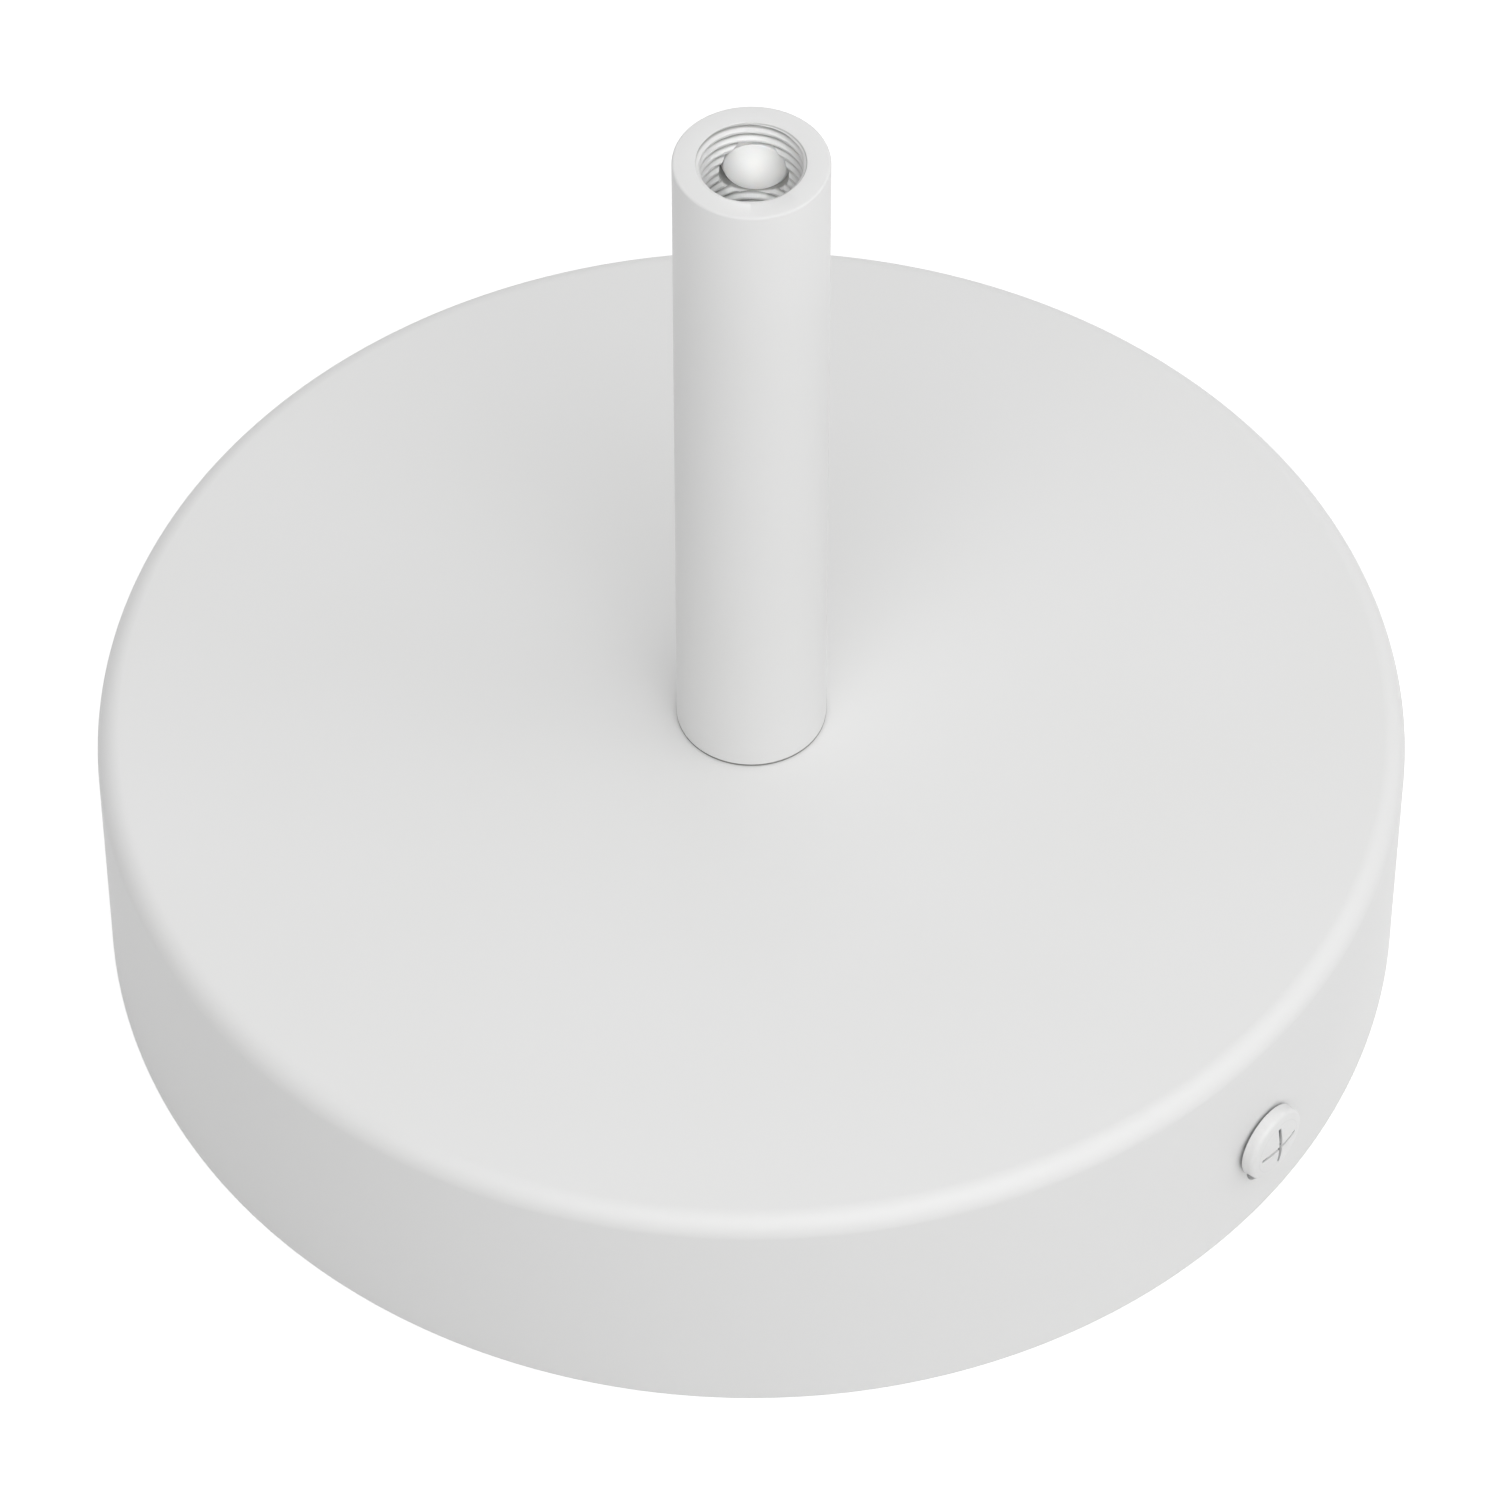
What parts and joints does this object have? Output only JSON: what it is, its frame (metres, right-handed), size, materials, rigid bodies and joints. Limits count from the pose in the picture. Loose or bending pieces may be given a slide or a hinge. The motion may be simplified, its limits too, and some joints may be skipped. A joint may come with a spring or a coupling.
{
  "type": "electrical ceiling rose",
  "caption": "White round metal ceiling rose: a flat cup that covers the wiring, with a long upright cord grip tube at its centre and a screw in each side.",
  "frame": {"origin": "centre of the open rim, in the ceiling plane, at the bottom of the part as it stands", "axes": "+Z along the tube, away from the ceiling; X through the two side screws, with the terminal block on the +X side"},
  "size_m": [0.1238, 0.12, 0.0958],
  "materials": {
    "white_powder_coat": "white satin powder coat on steel",
    "white_painted_screw": "white paint on a steel screw",
    "white_nylon": "moulded white nylon",
    "zinc_plated_steel": "bright zinc plating",
    "brass": "bright turned brass",
    "natural_polyamide": "moulded natural polyamide"
  },
  "bodies": {
    "rose": {"rose_cup": "white_powder_coat", "cord_grip_tube": "white_powder_coat", "threaded_nipple": "zinc_plated_steel", "lock_washer": "zinc_plated_steel", "nipple_nut": "zinc_plated_steel", "mounting_bracket": "zinc_plated_steel", "earth_washer": "brass", "earth_spring_washer": "zinc_plated_steel", "terminal_block": "natural_polyamide", "terminal_sleeve_1": "brass", "terminal_sleeve_2": "brass", "block_screw_1": "zinc_plated_steel"},
    "side_screw_right": {"side_screw_right": "white_painted_screw"},
    "side_screw_left": {"side_screw_left": "white_painted_screw"},
    "cord_grip_screw": {"cord_grip_screw": "white_nylon"},
    "earth_screw": {"earth_screw": "brass"},
    "terminal_screw_1": {"terminal_screw_1": "zinc_plated_steel"},
    "terminal_screw_2": {"terminal_screw_2": "zinc_plated_steel"},
    "terminal_screw_3": {"terminal_screw_3": "zinc_plated_steel"},
    "terminal_screw_4": {"terminal_screw_4": "zinc_plated_steel"}
  },
  "joints": [
    {"name": "side_screw_right_travel", "type": "slide", "parent": "rose", "child": "side_screw_right", "axis": [1, 0, 0], "range_m": [0, 0.005]},
    {"name": "side_screw_left_travel", "type": "slide", "parent": "rose", "child": "side_screw_left", "axis": [-1, 0, 0], "range_m": [0, 0.005]},
    {"name": "cord_grip_screw_travel", "type": "slide", "parent": "rose", "child": "cord_grip_screw", "axis": [0.5934, -0.8049, 0], "range_m": [-0.0012, 0.0025]},
    {"name": "earth_screw_travel", "type": "slide", "parent": "rose", "child": "earth_screw", "axis": [0, 0, 1], "range_m": [0, 0.002]},
    {"name": "terminal_screw_1_travel", "type": "slide", "parent": "rose", "child": "terminal_screw_1", "axis": [0, 0, 1], "range_m": [-0.002, 0]},
    {"name": "terminal_screw_2_travel", "type": "slide", "parent": "rose", "child": "terminal_screw_2", "axis": [0, 0, 1], "range_m": [-0.002, 0]},
    {"name": "terminal_screw_3_travel", "type": "slide", "parent": "rose", "child": "terminal_screw_3", "axis": [0, 0, 1], "range_m": [-0.002, 0]},
    {"name": "terminal_screw_4_travel", "type": "slide", "parent": "rose", "child": "terminal_screw_4", "axis": [0, 0, 1], "range_m": [-0.002, 0]}
  ]
}
